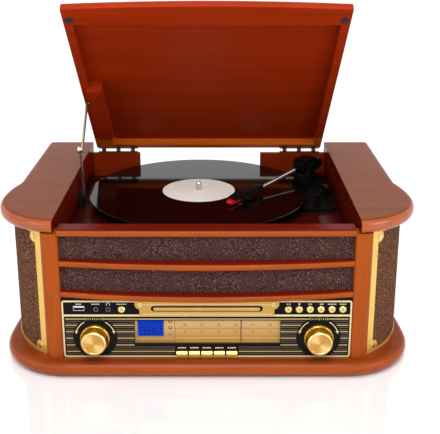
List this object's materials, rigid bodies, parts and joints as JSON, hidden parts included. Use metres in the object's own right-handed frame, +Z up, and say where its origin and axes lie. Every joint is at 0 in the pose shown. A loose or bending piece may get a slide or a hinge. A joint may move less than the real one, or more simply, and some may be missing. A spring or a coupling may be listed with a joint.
{
  "type": "stereo music centre",
  "caption": "Wooden music centre with a record deck under a hinged lid, a CD drawer, a tuning scale, gold knobs and rounded cloth-covered speaker sides.",
  "frame": {"origin": "on the floor under the middle of the footprint (the cabinet from the front of its plinth to the overhang of the record)", "axes": "+X to the right seen from the front, +Y to the back, +Z up"},
  "size_m": [0.505, 0.38, 0.429],
  "materials": {
    "stained_wood": "satin lacquer",
    "stained_wood_dark": "satin lacquer",
    "cloth": "woven with light flecks",
    "gold": "brushed gold",
    "steel": "bright",
    "black_plastic": "fine matt",
    "black_gloss": "gloss with gold print",
    "dial_face": "gold with dark print",
    "display_blue": "lit display",
    "clear": "clear",
    "vinyl": "grooved",
    "rubber_black": "matt",
    "felt": "felt",
    "silver": "satin",
    "red_plastic": "gloss",
    "pointer_red": "matt",
    "circuit": "laminate",
    "bronze": "dark bronze",
    "dark_metal": "black"
  },
  "bodies": {
    "cabinet": {"plinth": "stained_wood", "feet": "rubber_black", "front_posts": "stained_wood", "side_panels": "stained_wood", "inner_walls": "stained_wood_dark", "wing_tops": "stained_wood", "back_panel": "stained_wood_dark", "rear_sockets": "black_plastic", "front_rails": "stained_wood", "front_grilles": "cloth", "side_grilles": "cloth", "side_frames": "gold", "trim_screws": "gold", "speakers": "dark_metal", "fascia": "black_gloss", "cd_plate": "gold", "cd_mechanism": "black_plastic", "display_plate": "dial_face", "lcd_panel": "display_blue", "dial_window": "clear", "circuit_boards": "circuit", "deck": "stained_wood_dark", "tonearm_base": "black_plastic", "motor": "steel", "drive_belt": "rubber_black", "stay_bracket": "dark_metal", "hinge_leaves": "bronze"},
    "lid": {"lid_panel": "stained_wood", "lid_rails": "stained_wood", "lid_bumpers": "rubber_black", "lid_hinge_leaves": "bronze"},
    "stay_lower": {"stay_lower_arm": "steel"},
    "stay_upper": {"stay_upper_arm": "steel"},
    "turntable": {"platter": "silver", "slip_mat": "felt", "spindle": "steel", "record": "vinyl"},
    "pulley": {"motor_pulley": "gold"},
    "arm_turn": {"arm_yoke": "black_plastic"},
    "arm": {"tonearm": "silver", "headshell": "black_plastic", "cartridge": "red_plastic"},
    "cue": {"cue_lever": "black_plastic"},
    "speed": {"speed_switch": "black_plastic"},
    "tray": {"cd_tray": "gold"},
    "volume": {"volume_knob": "gold"},
    "tuning": {"tuning_knob": "gold"},
    "pointer": {"dial_pointer": "pointer_red"},
    "source": {"source_button": "gold"},
    "button_1": {"function_button_1": "gold"},
    "button_2": {"function_button_2": "gold"},
    "button_3": {"function_button_3": "gold"},
    "button_4": {"function_button_4": "gold"},
    "button_5": {"function_button_5": "gold"},
    "button_6": {"function_button_6": "gold"},
    "key_1": {"piano_key_1": "gold"},
    "key_2": {"piano_key_2": "gold"},
    "key_3": {"piano_key_3": "gold"},
    "key_4": {"piano_key_4": "gold"},
    "key_5": {"piano_key_5": "gold"}
  },
  "joints": [
    {"name": "lid_hinge", "type": "hinge", "parent": "cabinet", "child": "lid", "pos_m": [0, 0.1685, 0.1805], "axis": [-1, 0, 0], "range_deg": [-43, 0]},
    {"name": "stay_lower_hinge", "type": "hinge", "parent": "cabinet", "child": "stay_lower", "pos_m": [-0.1677, 0.022, 0.158], "axis": [1, 0, 0], "range_deg": [0, 74.71]},
    {"name": "stay_upper_hinge", "type": "hinge", "parent": "lid", "child": "stay_upper", "pos_m": [-0.1677, 0.06426, 0.2762], "axis": [1, 0, 0], "range_deg": [-69.68, 0]},
    {"name": "platter_spin", "type": "hinge", "parent": "cabinet", "child": "turntable", "pos_m": [-0.013, 0.039, 0.15], "axis": [0, 0, 1], "continuous": true},
    {"name": "pulley_spin", "type": "hinge", "parent": "cabinet", "child": "pulley", "pos_m": [-0.07428, 0.09042, 0.15], "axis": [0, 0, 1], "continuous": true},
    {"name": "arm_swing", "type": "hinge", "parent": "cabinet", "child": "arm_turn", "pos_m": [0.14001, 0.1049, 0.17], "axis": [0, 0, 1], "range_deg": [-7, 44]},
    {"name": "arm_lift", "type": "hinge", "parent": "arm_turn", "child": "arm", "pos_m": [0.14001, 0.1049, 0.176], "axis": [-0.7581, 0.6521, 0], "range_deg": [0, 5.5]},
    {"name": "cue_lever_hinge", "type": "hinge", "parent": "cabinet", "child": "cue", "pos_m": [0.166, 0.0649, 0.155], "axis": [-1, 0, 0], "range_deg": [0, 25]},
    {"name": "speed_switch_slide", "type": "slide", "parent": "cabinet", "child": "speed", "axis": [0, 1, 0], "range_m": [0, 0.014]},
    {"name": "cd_tray_slide", "type": "slide", "parent": "cabinet", "child": "tray", "axis": [0, -1, 0], "range_m": [0, 0.13]},
    {"name": "volume_turn", "type": "hinge", "parent": "cabinet", "child": "volume", "pos_m": [-0.132, -0.1715, 0.0455], "axis": [0, 1, 0], "range_deg": [-150, 150]},
    {"name": "tuning_turn", "type": "hinge", "parent": "cabinet", "child": "tuning", "pos_m": [0.132, -0.1715, 0.0455], "axis": [0, 1, 0], "range_deg": [-584.42, 328.5]},
    {"name": "pointer_slide", "type": "slide", "parent": "cabinet", "child": "pointer", "axis": [1, 0, 0], "range_m": [-0.077, 0.0435]},
    {"name": "source_press", "type": "slide", "parent": "cabinet", "child": "source", "axis": [0, 1, 0], "range_m": [0, 0.0012], "stiffness_N_per_m": 400},
    {"name": "button_1_press", "type": "slide", "parent": "cabinet", "child": "button_1", "axis": [0, 1, 0], "range_m": [0, 0.0012], "stiffness_N_per_m": 400},
    {"name": "button_2_press", "type": "slide", "parent": "cabinet", "child": "button_2", "axis": [0, 1, 0], "range_m": [0, 0.0012], "stiffness_N_per_m": 400},
    {"name": "button_3_press", "type": "slide", "parent": "cabinet", "child": "button_3", "axis": [0, 1, 0], "range_m": [0, 0.0012], "stiffness_N_per_m": 400},
    {"name": "button_4_press", "type": "slide", "parent": "cabinet", "child": "button_4", "axis": [0, 1, 0], "range_m": [0, 0.0012], "stiffness_N_per_m": 400},
    {"name": "button_5_press", "type": "slide", "parent": "cabinet", "child": "button_5", "axis": [0, 1, 0], "range_m": [0, 0.0012], "stiffness_N_per_m": 400},
    {"name": "button_6_press", "type": "slide", "parent": "cabinet", "child": "button_6", "axis": [0, 1, 0], "range_m": [0, 0.0012], "stiffness_N_per_m": 400},
    {"name": "key_1_press", "type": "slide", "parent": "cabinet", "child": "key_1", "axis": [0, 1, 0], "range_m": [0, 0.003], "stiffness_N_per_m": 400},
    {"name": "key_2_press", "type": "slide", "parent": "cabinet", "child": "key_2", "axis": [0, 1, 0], "range_m": [0, 0.003], "stiffness_N_per_m": 400},
    {"name": "key_3_press", "type": "slide", "parent": "cabinet", "child": "key_3", "axis": [0, 1, 0], "range_m": [0, 0.003], "stiffness_N_per_m": 400},
    {"name": "key_4_press", "type": "slide", "parent": "cabinet", "child": "key_4", "axis": [0, 1, 0], "range_m": [0, 0.003], "stiffness_N_per_m": 400},
    {"name": "key_5_press", "type": "slide", "parent": "cabinet", "child": "key_5", "axis": [0, 1, 0], "range_m": [0, 0.003], "stiffness_N_per_m": 400}
  ],
  "couplings": [
    {"joint": "stay_lower_hinge", "follows": "lid_hinge", "ratio": -1.7288},
    {"joint": "stay_upper_hinge", "follows": "lid_hinge", "ratio": 1.6124},
    {"joint": "pulley_spin", "follows": "platter_spin", "ratio": 17.5},
    {"joint": "pointer_slide", "follows": "tuning_turn", "m_per_rad": 0.0075}
  ]
}
